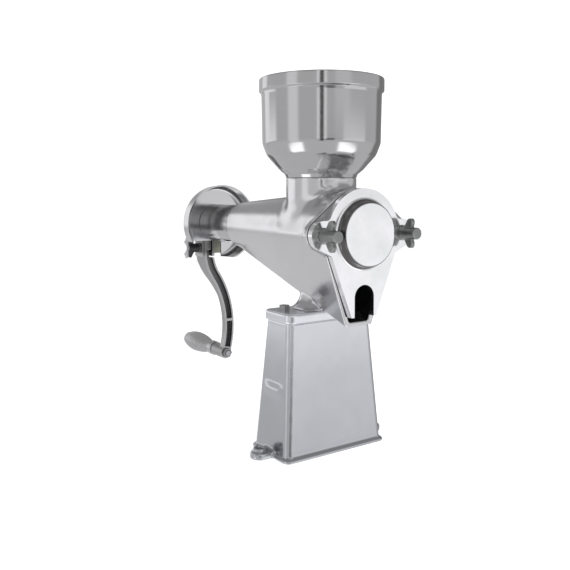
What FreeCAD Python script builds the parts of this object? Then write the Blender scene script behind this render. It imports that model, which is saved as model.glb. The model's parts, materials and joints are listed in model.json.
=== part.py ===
"""Hand-cranked screw juice press on a pedestal. Millimetres, +Z up.

The origin is on the floor under the pedestal's centre. The screw turns about an axis along Y. The cover and
the juice spout face -Y, and the crank is at +Y. Heights that start with a minus sign, and every outline of a
piece on the screw's axis, count from that axis.
"""

import FreeCAD, Part
import math
import os
import re

import Sketcher

SIZES = {
    # Pedestal
    "stand_tall": (175, "pedestal without its cap"),
    "stand_foot_wide": (159, "pedestal at the floor, along X"),
    "stand_foot_deep": (82, "pedestal at the floor, along Y"),
    "stand_top_wide": (135, "pedestal at the top, along X"),
    "stand_top_deep": (57, "pedestal at the top, along Y"),
    "stand_corner": (10, "corner radius of the pedestal"),
    "stand_wall": (7, "wall of the pedestal"),
    "stand_rim_tall": (4, "foot rim of the pedestal"),
    "stand_rim_proud": (3, "how far the foot rim stands out"),
    "lug_reach": (95, "bolt hole of a lug, from the centre"),
    "lug_round": (12, "radius of a lug's end"),
    "lug_thick": (8, "thickness of a lug"),
    "lug_boss_round": (8.5, "radius of the raised ring on a lug"),
    "lug_boss_tall": (13, "height of that ring"),
    "lug_hole": (4.5, "radius of a lug's bolt hole"),
    "rib_low": (80, "underside of the side rib"),
    "rib_tall": (10, "height of the side rib"),
    "rib_long": (40, "length of the side rib"),
    "rib_thick": (12, "thickness of the side rib, part of it in the wall"),
    "rib_across": (72.1, "middle of the side rib, along -X"),
    "cap_wide": (141, "cap along X"),
    "cap_deep": (63, "cap along Y"),
    "cap_thick": (12, "cap thickness"),
    "cap_bolt_across": (48, "cap bolt from the centre, along X"),
    "cap_bolt_back": (12, "cap bolt from the centre, along Y"),
    "foot_bolt_across": (14, "foot bolt from the centre, along X"),
    "bolt_round": (4, "radius of every M8 thread"),
    "bolt_hole": (4.2, "radius of its clearance hole"),
    "head_round": (7.5, "corner radius of its hexagon head"),
    "head_tall": (5.5, "height of its hexagon head"),
    "nut_tall": (6, "height of its hexagon nut"),
    # Screw axis and barrel
    "axis_tall": (291, "screw axis above the floor"),
    "cover_front": (-95, "front face of the cover plate"),
    "cover_thick": (8, "cover plate"),
    "gasket_thick": (2, "gasket behind the cover"),
    "flange_thick": (10, "flange of the press body"),
    "barrel_front_round": (56, "barrel at the flange, outside radius"),
    "barrel_end_round": (36, "barrel at its rear end, outside radius"),
    "barrel_end": (195, "rear end of the barrel"),
    "bore_front_round": (51, "barrel bore at the flange"),
    "bore_end_round": (31.5, "barrel bore at the rear end"),
    "foot_wide": (76, "foot of the press body on the cap, along X"),
    "foot_deep": (58, "foot of the press body on the cap, along Y"),
    "foot_corner": (20, "corner radius of that foot"),
    "foot_tall": (24, "height of the cove above that foot"),
    "waist_wide": (42, "press body above the cove, along X"),
    "waist_deep": (46, "press body above the cove, along Y"),
    "waist_corner": (14, "corner radius above the cove"),
    "foot_bolt_grip": (10, "how far a foot bolt reaches into the press body"),
    # Hopper and its socket
    "hopper_back": (-5, "hopper axis along Y"),
    "socket_round": (47, "socket for the hopper, outside radius"),
    "socket_bore": (43, "socket bore"),
    "socket_top": (362, "top of the socket above the floor"),
    "hopper_wall": (2.6, "hopper wall"),
    "rim_round": (83.3, "rim band, outside radius"),
    "rim_tall": (16, "height of the rim band"),
    "hopper_top": (492, "top of the hopper above the floor"),
    "bowl_top_round": (80.3, "hopper just under the rim band"),
    "bowl_low_round": (78.8, "hopper above its shoulder"),
    "bowl_low": (405, "height where the shoulder starts"),
    "cone_round": (69, "hopper cone under the shoulder"),
    "cone_top": (386.5, "height where the cone starts"),
    "cone_low_round": (55.8, "hopper cone at its lower end"),
    "cone_low": (372, "height where the cone ends"),
    "spigot_round": (42.7, "hopper spigot in the socket"),
    "spigot_low": (345, "lower end of the spigot"),
    # Trough under the barrel
    "trough_front_low": (-116, "trough floor at the front"),
    "trough_front_half": (21, "half width of the trough floor at the front"),
    "trough_end_low": (-33, "trough floor at the rear"),
    "trough_end_half": (12, "half width of the trough floor at the rear"),
    "trough_end_side": (-14, "height where the trough's sides meet the barrel at the rear"),
    "trough_end_side_half": (32, "half width there"),
    "trough_wall": (5, "trough wall"),
    # Cover plate
    "stud_apart": (63, "stud from the screw axis, along X"),
    "ear_round": (18, "radius of an ear"),
    "ear_lower": (65, "degrees that an ear turns below its centre"),
    "ear_cove": (8, "radius of the cove between the cover's ear and its round top"),
    "cover_round": (57, "radius of the cover's top"),
    "knee_across": (51, "where the ear meets the tapering side, along X"),
    "knee_low": (-25.4, "height of that corner"),
    "cover_low": (-103, "lower edge of the cover"),
    "cover_low_half": (20, "half width of that edge"),
    "arch_half": (15.5, "half width of the spout arch"),
    "arch_top": (-63, "top of the spout arch"),
    "boss_round": (46, "cover boss at the plate"),
    "boss_face_round": (38, "cover boss at its face"),
    "boss_proud": (12, "cover boss in front of the plate"),
    "boss_edge": (2.5, "rounding of the boss face"),
    "stud_proud": (23, "stud in front of the cover plate"),
    "washer_round": (10, "radius of a stud washer"),
    "washer_thick": (1.6, "thickness of a stud washer"),
    "nut_wing_thick": (5.5, "thickness of a wing nut's lobes"),
    "bush_wall": (3, "wall of a bearing bush"),
    # Screw and shaft
    "shaft_round": (8, "radius of the drive shaft"),
    "running_gap": (0.06, "radial clearance of a running fit"),
    "seat_gap": (0.1, "radial clearance of a fixed fit"),
    "part_gap": (0.3, "clearance between parts that move apart"),
    "screw_front": (-81.7, "front face of the screw"),
    "screw_end": (190, "rear end of the screw"),
    "core_front_round": (21, "screw core at the front"),
    "core_end_round": (24, "screw core at the rear"),
    "collar_round": (46, "disc at the front of the screw"),
    "collar_thick": (5, "thickness of that disc"),
    "flight_pitch": (40, "pitch of the flight"),
    "flight_long": (242, "length of the flight"),
    "flight_end": (172, "rear end of the flight"),
    "flight_end_round": (30.4, "flight radius at its rear end"),
    "flight_root": (1, "radius where the flight starts inside the core, at its rear end"),
    "flight_root_thick": (8, "flight thickness at the core"),
    "flight_edge_thick": (3, "flight thickness at its edge"),
    "pin_back": (-68, "screw pin along Y"),
    "pin_round": (3, "radius of the screw pin"),
    "hub_end": (-58, "rear end of the screw's solid hub"),
    "core_wall": (4.5, "wall of the hollow core behind the hub"),
    "sleeve_wall": (1, "wall of the strainer"),
    "sleeve_end": (183, "rear end of the strainer"),
    "slot_long": (22, "length of a strainer slot"),
    "slot_wide": (2, "width of a strainer slot"),
    "slot_apart": (8, "strainer slots apart, along X"),
    "slot_rows": (7, "rows of slots along Y"),
    "slot_columns": (5, "columns of slots along X"),
    "slot_first": (-60, "front end of the first slots"),
    "slot_gap": (8, "strainer left between two slots, along Y"),
    "thrust_round": (19, "radius of the thrust washer"),
    # Rear neck, guard dish
    "neck_round": (31, "outlet neck, outside radius"),
    "neck_bore": (28, "outlet neck bore"),
    "neck_front": (186, "front end of the neck"),
    "web_front": (274, "front of the neck's bearing wall"),
    "dish_back": (295, "rear face of the guard dish"),
    "dish_deep": (27, "depth of the guard dish"),
    "dish_round": (62, "radius of the guard dish"),
    "dish_wall": (2.5, "sheet of the guard dish"),
    "dish_cut_low": (-58, "flat lower edge of the guard dish"),
    "dish_notch_across": (10, "inner edge of the pulp notch, along X"),
    "dish_notch_low": (-30, "upper edge of the pulp notch"),
    "window_front": (205, "front of the pulp window"),
    "window_long": (38, "length of the pulp window"),
    "window_half": (17, "half width of the pulp window"),
    "dish_screw_ring": (22, "dish screws from the axis"),
    "dish_screw_round": (2.5, "radius of a dish screw"),
    "seal_round": (14, "outside radius of the shaft seal"),
    "seal_thick": (5, "thickness of the shaft seal"),
    "shaft_collar_round": (15.5, "radius of the shaft collar"),
    "shaft_collar_long": (14, "length of the shaft collar"),
    "dish_head_round": (4.2, "radius of a dish screw's head"),
    "dish_head_tall": (2, "height of that head"),
    "dish_screw_grip": (11, "how far a dish screw reaches into the neck"),
    # Crank
    "crank_front": (316, "front face of the crank"),
    "hub_deep": (35, "depth of the clamp hub"),
    "hub_round": (18, "radius of the clamp hub"),
    "arm_half": (8.5, "half width of the arm"),
    "arm_thick": (13, "thickness of the lower arm"),
    "arm_straight": (50, "straight stretch below the axis"),
    "arm_lean": (33, "degrees that the arm leans in the middle"),
    "arm_upper_bend": (80, "radius of the upper bend"),
    "arm_lower_bend": (165, "radius of the lower bend"),
    "arm_end_lean": (17, "degrees that the arm leans back at its end"),
    "ear_half": (12, "half width of the clamp ears"),
    "ear_low": (-60, "lower end of the free ear"),
    "split_across": (3, "clamp split, from the axis"),
    "split_wide": (2.6, "width of the clamp split"),
    "clamp_low": (-45, "clamp bolt below the axis"),
    "channel_half": (5.2, "half width of the channel in the arm"),
    "channel_deep": (7, "depth of that channel"),
    "cross_rib_across": (39.2, "middle of the cross rib in the channel, along X"),
    "cross_rib_low": (-176, "lower edge of that rib"),
    "cross_rib_half": (7.2, "half width of that rib"),
    "cross_rib_tall": (5, "height of that rib"),
    "clamp_washer_thick": (2, "washer under the wing bolt"),
    "clamp_block_long": (18, "square block on the wing bolt, along X"),
    "clamp_block_side": (20, "side of that block"),
    "clamp_wing_thick": (5, "thickness of the wing bolt's wings"),
    "grip_boss_round": (11, "radius of the boss that holds the grip"),
    "grip_boss_deep": (39, "depth of that boss"),
    "spindle_round": (5, "radius of the grip spindle"),
    "spindle_head_round": (6.5, "radius of the spindle's head"),
    "spindle_head_long": (4, "length of the spindle's head"),
    "spindle_tip": (8, "spindle in front of the crank"),
    "spindle_nut_round": (8.5, "corner radius of the spindle's nut"),
    "grip_collar_round": (12.5, "radius of the collar before the grip"),
    "grip_collar_thick": (12, "thickness of that collar"),
    "grip_long": (101, "length of the grip"),
    "grip_neck_round": (10.5, "grip at its neck"),
    "grip_round": (17.5, "largest radius of the grip"),
    "grip_recess": (6, "depth of the recess for the spindle's head"),
}

doc = FreeCAD.newDocument("ScrewJuicePress")
sheet = doc.addObject("Spreadsheet::Sheet", "Sizes")
for row, (name, (number, meaning)) in enumerate(SIZES.items(), start=1):
    sheet.set(f"A{row}", name)
    sheet.set(f"B{row}", str(number))
    sheet.setAlias(f"B{row}", name)
    sheet.set(f"C{row}", meaning)
doc.recompute()

PARTS = []


def bound(text):
    """The expression with each size written as a cell of the sheet."""
    return re.sub(r"[a-z_]\w*", lambda word: ("Sizes." if word[0] in SIZES else "") + word[0], str(text))


def number_of(text):
    result = sheet.evalExpression(bound(text))
    return float(getattr(result, "Value", result))


# ---------------------------------------------------------------- sketches and features


def draw_outline(sketch, steps):
    """A closed outline, counterclockwise. A step is a corner (x, y) that a line runs to, or (x, y, radius)
    for an arc to that corner. The arc bulges outward, or inward where the radius is negative."""
    corners = [FreeCAD.Vector(number_of(step[0]), number_of(step[1]), 0) for step in steps]
    ends = []
    for index, step in enumerate(steps):
        start, end = corners[index - 1], corners[index]
        if len(step) == 2:
            edge = sketch.addGeometry(Part.LineSegment(start, end), False)
            ends.append((edge, 1, 2))
            continue
        radius = number_of(step[2])
        chord = end - start
        half = chord.Length / 2
        rise = math.copysign(math.sqrt(radius**2 - half**2), radius) if abs(radius) > half + 1e-6 else 0
        centre = (start + end) / 2 + FreeCAD.Vector(-chord.y, chord.x, 0).normalize() * rise
        first, last = (start, end) if radius > 0 else (end, start)
        angles = [math.atan2(point.y - centre.y, point.x - centre.x) for point in (first, last)]
        circle = Part.Circle(centre, FreeCAD.Vector(0, 0, 1), abs(radius))
        edge = sketch.addGeometry(Part.ArcOfCircle(circle, *angles), False)
        ends.append((edge, 1, 2) if radius > 0 else (edge, 2, 1))
        if rise:
            text = step[2] if radius > 0 else f"-({step[2]})"
            bind(sketch, Sketcher.Constraint("Radius", edge, abs(radius)), text)
        elif abs(chord.x) < abs(chord.y):
            bind(sketch, Sketcher.Constraint("DistanceX", edge, 3, centre.x), step[0])
        else:
            bind(sketch, Sketcher.Constraint("DistanceY", edge, 3, centre.y), step[1])
    for index, (edge, _, tail) in enumerate(ends):
        following = ends[(index + 1) % len(ends)]
        sketch.addConstraint(Sketcher.Constraint("Coincident", edge, tail, following[0], following[1]))
        corner = corners[index]
        bind(sketch, Sketcher.Constraint("DistanceX", edge, tail, corner.x), steps[index][0])
        bind(sketch, Sketcher.Constraint("DistanceY", edge, tail, corner.y), steps[index][1])


def draw_circle(sketch, x, y, radius):
    centre = FreeCAD.Vector(number_of(x), number_of(y), 0)
    edge = sketch.addGeometry(Part.Circle(centre, FreeCAD.Vector(0, 0, 1), number_of(radius)), False)
    bind(sketch, Sketcher.Constraint("Radius", edge, number_of(radius)), radius)
    bind(sketch, Sketcher.Constraint("DistanceX", edge, 3, centre.x), x)
    bind(sketch, Sketcher.Constraint("DistanceY", edge, 3, centre.y), y)


def bind(sketch, constraint, text):
    index = sketch.addConstraint(constraint)
    sketch.setExpression(f"Constraints[{index}]", bound(text))


def new_body(label, x="0", y="0", z="0"):
    """An empty part whose own origin lies at x, y, z."""
    body = doc.addObject("PartDesign::Body", label)
    place(body, x, y, z)
    PARTS.append(body)
    return body


def place(item, x, y, z):
    for axis, text in zip("xyz", (x, y, z)):
        item.setExpression(f".Placement.Base.{axis}", bound(text))


def new_sketch(body, name, plane, level, *outlines):
    """A sketch on an origin plane, moved to the level along X, Y or Z. An outline is a list of steps, or one
    tuple (x, y, radius) for a circle. Sketch x and y are X and Z on XZ, Y and Z on YZ, and X and Y on XY."""
    sketch = body.newObject("Sketcher::SketchObject", f"{body.Name}_{name}")
    support = next(item for item in body.Origin.OriginFeatures if item.Role == plane + "_Plane")
    sketch.AttachmentSupport = [(support, "")]
    sketch.MapMode = "FlatFace"
    sense = "-" if plane == "XZ" else ""
    sketch.setExpression(".AttachmentOffset.Base.z", f"{sense}({bound(level)})")
    for outline in outlines:
        if isinstance(outline, tuple):
            draw_circle(sketch, *outline)
        else:
            draw_outline(sketch, outline)
    return sketch


def feature(body, kind, name, cut, setup):
    """Adds a feature, lets setup fill it in, and makes sure that it adds or removes material."""
    before = body.Shape.Volume if body.Tip else 0
    item = body.newObject("PartDesign::" + kind, f"{body.Name}_{name}")
    setup(item)
    doc.recompute()
    change = item.Shape.Volume - before
    assert (change < -1 if cut else change > 1), f"{item.Name} changes the volume by {change:.1f}"
    return item


def pad(body, name, plane, level, length, *outlines, cut=False):
    """Material, or a cut, from the level for a length towards +X, +Y or +Z."""
    profile = new_sketch(body, name + "_outline", plane, level, *outlines)

    def setup(item):
        item.Profile = profile
        item.Reversed = (plane == "XZ") != cut
        item.setExpression("Length", bound(length))

    return feature(body, "Pocket" if cut else "Pad", name, cut, setup)


def turn(body, name, outline, plane="YZ", cut=False):
    """Material or a cut, turned about Y (outline of y and radius) or, on XZ, about Z (radius and height)."""
    profile = new_sketch(body, name + "_outline", plane, "0", outline)

    def setup(item):
        item.Profile = profile
        item.ReferenceAxis = (profile, ["H_Axis" if plane == "YZ" else "V_Axis"])
        item.Angle = 360

    return feature(body, "Groove" if cut else "Revolution", name, cut, setup)


def loft(body, name, plane, sections, cut=False, ruled=True):
    """Material, or a cut, between outlines at their levels."""
    profiles = [
        new_sketch(body, f"{name}_section{index}", plane, level, outline)
        for index, (level, outline) in enumerate(sections)
    ]

    def setup(item):
        item.Profile = profiles[0]
        item.Sections = profiles[1:]
        item.Ruled = ruled

    return feature(body, "SubtractiveLoft" if cut else "AdditiveLoft", name, cut, setup)


def round_edges(body, name, radius, chosen):
    """Rounds the edges of the body for which chosen(edge) is true."""
    base = body.Tip
    names = [f"Edge{index}" for index, edge in enumerate(base.Shape.Edges, start=1) if chosen(edge)]
    assert names, f"{body.Name} has no edge to round for {name}"

    def setup(item):
        item.Base = (base, names)
        item.setExpression("Radius", bound(radius))

    item = body.newObject("PartDesign::Fillet", f"{body.Name}_{name}")
    setup(item)
    doc.recompute()
    return item


def ring(label, front, length, outer, inner, x="0", z="axis_tall"):
    """A plain ring, bush or washer about a line along Y."""
    body = new_body(label, x, front, z)
    turn(body, "ring", [("0", inner), (length, inner), (length, outer), ("0", outer)])
    return body


def rounded_box(wide, deep, corner):
    """Outline of a rounded rectangle about the origin."""
    a, b, corner = f"({wide}) / 2", f"({deep}) / 2", f"({corner})"
    return [
        (f"{a} - {corner}", f"-{b}"),
        (a, f"-{b} + {corner}", corner),
        (a, f"{b} - {corner}"),
        (f"{a} - {corner}", b, corner),
        (f"-{a} + {corner}", b),
        (f"-{a}", f"{b} - {corner}", corner),
        (f"-{a}", f"-{b} + {corner}"),
        (f"-{a} + {corner}", f"-{b}", corner),
    ]


def rectangle(low_x, low_y, high_x, high_y):
    return [(high_x, low_y), (high_x, high_y), (low_x, high_y), (low_x, low_y)]


# ---------------------------------------------------------------- fasteners


def cylinder(name, radius, length):
    item = doc.addObject("Part::Cylinder", name)
    item.setExpression("Radius", bound(radius))
    item.setExpression("Height", bound(length))
    return item


def hexagon(name, radius, length):
    item = doc.addObject("Part::Prism", name)
    item.Polygon = 6
    item.setExpression("Circumradius", bound(radius))
    item.setExpression("Height", bound(length))
    return item


def united(kind, name, first, second):
    item = doc.addObject("Part::" + kind, name)
    item.Base, item.Tool = first, second
    return item


def group(label, items):
    """Identical fasteners in one node, as separate solids."""
    compound = doc.addObject("Part::Compound", label)
    compound.Links = items
    PARTS.append(compound)
    return compound


def bolt(name, x, y, head_low, tip):
    """An upright hexagon bolt with its head's lower face at head_low. Its shank starts inside the head and
    reaches the tip, which is above or below."""
    head = hexagon(name + "_head", "head_round", "head_tall")
    place(head, x, y, head_low)
    down = number_of(tip) < number_of(head_low)
    inside = f"{head_low} + head_tall / 2"
    low, high = (tip, inside) if down else (inside, tip)
    shank = cylinder(name + "_shank", "bolt_round", f"{high} - ({low})")
    place(shank, x, y, low)
    return united("Fuse", name, head, shank)


# ---------------------------------------------------------------- pedestal


def make_stand():
    body = new_body("stand")
    foot = rounded_box("stand_foot_wide", "stand_foot_deep", "stand_corner")
    top = rounded_box("stand_top_wide", "stand_top_deep", "stand_corner")
    loft(body, "shell", "XY", [("0", foot), ("stand_tall", top)], ruled=False)
    rim = rounded_box(
        "stand_foot_wide + 2 * stand_rim_proud", "stand_foot_deep + 2 * stand_rim_proud", "stand_corner"
    )
    pad(body, "rim", "XY", "0", "stand_rim_tall", rim)
    for side, sign in (("left", "-1"), ("right", "1")):
        lug = [
            (f"{sign} * lug_reach", f"{sign} * -lug_round"),
            (f"{sign} * lug_reach", f"{sign} * lug_round", "lug_round"),
            (f"{sign} * stand_top_wide / 2", f"{sign} * lug_round"),
            (f"{sign} * stand_top_wide / 2", f"{sign} * -lug_round"),
        ]
        pad(body, f"lug_{side}", "XY", "0", "lug_thick", lug)
        boss = (f"{sign} * lug_reach", "0", "lug_boss_round")
        pad(body, f"lug_boss_{side}", "XY", "0", "lug_boss_tall", boss)
    rib = rounded_box("rib_thick", "rib_long", "rib_thick / 2 - 0.5")
    rib = [(f"{step[0]} - rib_across", *step[1:]) for step in rib]
    pad(body, "rib", "XY", "rib_low", "rib_tall", rib)
    walls = "2 * stand_wall"
    inner_foot = rounded_box(f"stand_foot_wide - {walls}", f"stand_foot_deep - {walls}", "stand_corner - 4")
    inner_top = rounded_box(f"stand_top_wide - {walls}", f"stand_top_deep - {walls}", "stand_corner - 4")
    hollow = [("0", inner_foot), ("stand_tall - stand_wall", inner_top)]
    loft(body, "hollow", "XY", hollow, cut=True, ruled=False)
    holes = [(f"{sign} * lug_reach", "0", "lug_hole") for sign in ("-1", "1")]
    pad(body, "lug_holes", "XY", "0", "lug_boss_tall", *holes, cut=True)
    pad(body, "top_holes", "XY", "stand_tall - stand_wall", "stand_wall", *cap_holes(), cut=True)


def cap_holes():
    """Two diagonal cap bolts and two foot bolts."""
    return [
        ("-cap_bolt_across", "cap_bolt_back", "bolt_hole"),
        ("cap_bolt_across", "-cap_bolt_back", "bolt_hole"),
        ("-foot_bolt_across", "0", "bolt_hole"),
        ("foot_bolt_across", "0", "bolt_hole"),
    ]


def make_cap():
    body = new_body("stand_cap", z="stand_tall")
    pad(body, "plate", "XY", "0", "cap_thick", rounded_box("cap_wide", "cap_deep", "stand_corner + 2"))
    top = number_of("cap_thick")
    round_edges(body, "upper_edge", "2", lambda edge: all(abs(v.Z - top) < 0.01 for v in edge.Vertexes))
    pad(body, "holes", "XY", "0", "cap_thick", *cap_holes(), cut=True)


def make_cap_fasteners():
    cap_top = "stand_tall + cap_thick"
    under = "stand_tall - stand_wall"
    bolts, nuts = [], []
    for index, sign in enumerate(("-1", "1")):
        x, y = f"{sign} * cap_bolt_across", f"{sign} * -cap_bolt_back"
        bolts.append(bolt(f"cap_bolt_{index}", x, y, cap_top, f"{under} - nut_tall - 3"))
        nut = hexagon(f"cap_nut_{index}_hexagon", "head_round", "nut_tall")
        bore = cylinder(f"cap_nut_{index}_bore", "bolt_round + seat_gap", "nut_tall")
        for item in (nut, bore):
            place(item, x, y, f"{under} - nut_tall")
        nuts.append(united("Cut", f"cap_nut_{index}", nut, bore))
    group("cap_bolts", bolts)
    group("cap_nuts", nuts)
    foot_tip = f"{cap_top} + foot_bolt_grip"
    feet = [
        bolt(f"foot_bolt_{index}", f"{sign} * foot_bolt_across", "0", f"{under} - head_tall", foot_tip)
        for index, sign in enumerate(("-1", "1"))
    ]
    group("foot_bolts", feet)


# ---------------------------------------------------------------- cover, flange and gasket


def eared_outline(*ear_top):
    """Round top, two ears and sides that taper to the spout. ear_top is where the right ear ends, with its
    radius, and the corner on the round top that comes after it."""
    right = [
        ("cover_low_half", "cover_low"),
        ("knee_across", "knee_low"),
        ("stud_apart + ear_round * cos(ear_lower)", "-ear_round * sin(ear_lower)"),
        *ear_top,
    ]
    corners = [(f"-({x})", y) for x, y, *_ in reversed(right)]
    radii = [("cover_round",)] + [step[2:] for step in reversed(right[1:])]
    return right + [corner + radius for corner, radius in zip(corners, radii)]


def flange_outline():
    """The ears run straight to the round top, along the tangent of both circles."""
    tangent = "acos((cover_round - ear_round) / stud_apart)"
    return eared_outline(
        (f"stud_apart + ear_round * cos({tangent})", f"ear_round * sin({tangent})", "ear_round"),
        (f"cover_round * cos({tangent})", f"cover_round * sin({tangent})"),
    )


def cover_outline():
    """The ears are set off from the round top by a cove that touches both circles."""
    far, near = "(cover_round + ear_cove)", "(ear_round + ear_cove)"
    turned = f"acos(({far} * {far} + stud_apart * stud_apart - {near} * {near}) / (2 * {far} * stud_apart))"
    share = f"ear_round / {near}"
    return eared_outline(
        (
            f"stud_apart + {share} * ({far} * cos({turned}) - stud_apart)",
            f"{share} * {far} * sin({turned})",
            "ear_round",
        ),
        (f"cover_round * cos({turned})", f"cover_round * sin({turned})", "-ear_cove"),
    )


def spout_arch():
    """The last corners of an outline whose lower edge is open for the juice."""
    return [
        ("-arch_half", "cover_low"),
        ("-arch_half", "arch_top - arch_half"),
        ("arch_half", "arch_top - arch_half", "-arch_half"),
        ("arch_half", "cover_low"),
    ]


def stud_holes(radius):
    return [(f"{sign} * stud_apart", "0", radius) for sign in ("-1", "1")]


def make_front_plate():
    body = new_body("front_plate", z="axis_tall")
    pad(body, "plate", "XZ", "cover_front", "cover_thick", cover_outline() + spout_arch())
    face = "cover_front - boss_proud"
    boss = [
        ("cover_front + 1", "0"),
        ("cover_front + 1", "boss_round"),
        ("cover_front", "boss_round"),
        ("cover_front - 4", "boss_round - 4.5", "-5"),
        (f"{face} + boss_edge", "boss_face_round + boss_edge"),
        (face, "boss_face_round", "boss_edge"),
        (face, "0"),
    ]
    turn(body, "boss", boss)
    bush_seat = ("0", "0", "shaft_round + running_gap + bush_wall + seat_gap")
    depth = "cover_thick + boss_proud - 4"
    pad(body, "bush_seat", "XZ", f"{face} + 4", depth, bush_seat, cut=True)
    pad(body, "stud_holes", "XZ", "cover_front", "cover_thick", *stud_holes("bolt_hole"), cut=True)


def trough_section(floor, floor_half, side, side_half):
    return [(floor_half, floor), (side_half, side), (f"-({side_half})", side), (f"-({floor_half})", floor)]


def trough_hollow():
    """Front and rear sections of the space that the juice runs down, inside the trough's walls."""
    front = trough_section(
        "trough_front_low + trough_wall", "arch_half", "knee_low", "knee_across - trough_wall - 3"
    )
    end_floor = "trough_end_low + trough_wall"
    end = trough_section(end_floor, "trough_end_half - 3", "trough_end_side", "trough_end_side_half - 10")
    return front, end


def make_gasket():
    body = new_body("front_gasket", z="axis_tall")
    front = "cover_front + cover_thick"
    pad(body, "sheet", "XZ", front, "gasket_thick", flange_outline() + spout_arch())
    pad(body, "opening", "XZ", front, "gasket_thick", ("0", "0", "bore_front_round"), cut=True)
    floor = trough_section("cover_low - 1", "arch_half", "knee_low", "knee_across - trough_wall - 3")
    pad(body, "trough_opening", "XZ", front, "gasket_thick", floor, cut=True)
    pad(body, "stud_holes", "XZ", front, "gasket_thick", *stud_holes("bolt_hole"), cut=True)


# ---------------------------------------------------------------- press body


FLANGE_FRONT = "(cover_front + cover_thick + gasket_thick)"
BORE_SLOPE = f"(bore_front_round - bore_end_round) / (barrel_end - {FLANGE_FRONT})"


def bore_round_at(place_y):
    """Radius of the barrel bore at a place along Y."""
    return f"(bore_front_round - ({place_y} - {FLANGE_FRONT}) * {BORE_SLOPE})"


def make_press_body():
    body = new_body("press_body", z="axis_tall")
    flange = FLANGE_FRONT
    barrel = [
        (flange, "0"),
        ("barrel_end", "0"),
        ("barrel_end", "barrel_end_round - 2"),
        ("barrel_end - 2", "barrel_end_round", "2"),
        (f"{flange} + flange_thick", "barrel_front_round"),
        (flange, "barrel_front_round"),
    ]
    turn(body, "barrel", barrel)
    outer_front = trough_section("trough_front_low", "trough_front_half", "knee_low", "knee_across")
    outer_end = trough_section(
        "trough_end_low", "trough_end_half", "trough_end_side", "trough_end_side_half"
    )
    ends = [(flange, outer_front), ("barrel_end", outer_end)]
    loft(body, "trough", "XZ", ends)
    pad(body, "flange", "XZ", flange, "flange_thick", flange_outline())
    pad(body, "socket", "XY", "20", "socket_top - axis_tall - 20", ("0", "hopper_back", "socket_round"))
    loft(body, "foot", "XY", [foot_section(*step) for step in FOOT_COVE], ruled=False)
    cut_press_body(body, flange)


FOOT_LOW = "stand_tall + cap_thick - axis_tall"
FOOT_COVE = [(0, 1), (1 / 6, 0.5), (1 / 2, 0.13), (1, 0)]


def foot_section(height, spread):
    """The foot at a share of the cove's height, where it has that share of its spread beyond the waist."""
    sizes = [
        f"waist_{side} + {spread} * (foot_{side} - waist_{side})" for side in ("wide", "deep", "corner")
    ]
    return f"{FOOT_LOW} + {height} * foot_tall", rounded_box(*sizes)


def cut_press_body(body, flange):
    bore = [
        (flange, "0"),
        ("barrel_end", "0"),
        ("barrel_end", "bore_end_round"),
        (flange, "bore_front_round"),
    ]
    turn(body, "bore", bore, cut=True)
    front, end = trough_hollow()
    loft(body, "trough_hollow", "XZ", [(flange, front), ("barrel_end - 15", end)], cut=True)
    throat = ("0", "hopper_back", "socket_bore")
    pad(body, "throat", "XY", "0", "socket_top - axis_tall", throat, cut=True)
    pad(body, "stud_holes", "XZ", flange, "flange_thick", *stud_holes("bolt_round + seat_gap"), cut=True)
    bolts = [(f"{sign} * foot_bolt_across", "0", "bolt_round + seat_gap") for sign in ("-1", "1")]
    pad(body, "foot_holes", "XY", FOOT_LOW, "foot_bolt_grip + 2", *bolts, cut=True)


def make_strainer():
    """Conical sleeve with slots over the trough and an opening under the hopper."""
    body = new_body("strainer", z="axis_tall")
    front = f"{FLANGE_FRONT} + 6"
    outer = [f"{bore_round_at(place_y)} - part_gap" for place_y in (front, "sleeve_end")]
    sleeve = [
        (front, f"{outer[0]} - sleeve_wall"),
        ("sleeve_end", f"{outer[1]} - sleeve_wall"),
        ("sleeve_end", outer[1]),
        (front, outer[0]),
    ]
    turn(body, "sleeve", sleeve)
    pad(body, "inlet", "XY", "0", "barrel_front_round", ("0", "hopper_back", "spigot_round"), cut=True)
    slot = rectangle("-slot_wide / 2", "slot_first", "slot_wide / 2", "slot_first + slot_long")
    slot = [(f"{x} - (slot_columns - 1) / 2 * slot_apart", y) for x, y in slot]
    cut = pad(body, "slot", "XY", "-barrel_front_round", "barrel_front_round", slot, cut=True)

    def setup(item):
        item.Originals = [cut]
        item.Direction = (cut.Profile[0], ["H_Axis"])
        item.Direction2 = (cut.Profile[0], ["V_Axis"])
        item.setExpression("Length", bound("(slot_columns - 1) * slot_apart"))
        item.setExpression("Length2", bound("(slot_rows - 1) * (slot_long + slot_gap)"))
        item.setExpression("Occurrences", bound("slot_columns"))
        item.setExpression("Occurrences2", bound("slot_rows"))
        body.Tip = item

    feature(body, "LinearPattern", "slots", True, setup)


# ---------------------------------------------------------------- screw and bearings


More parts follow.
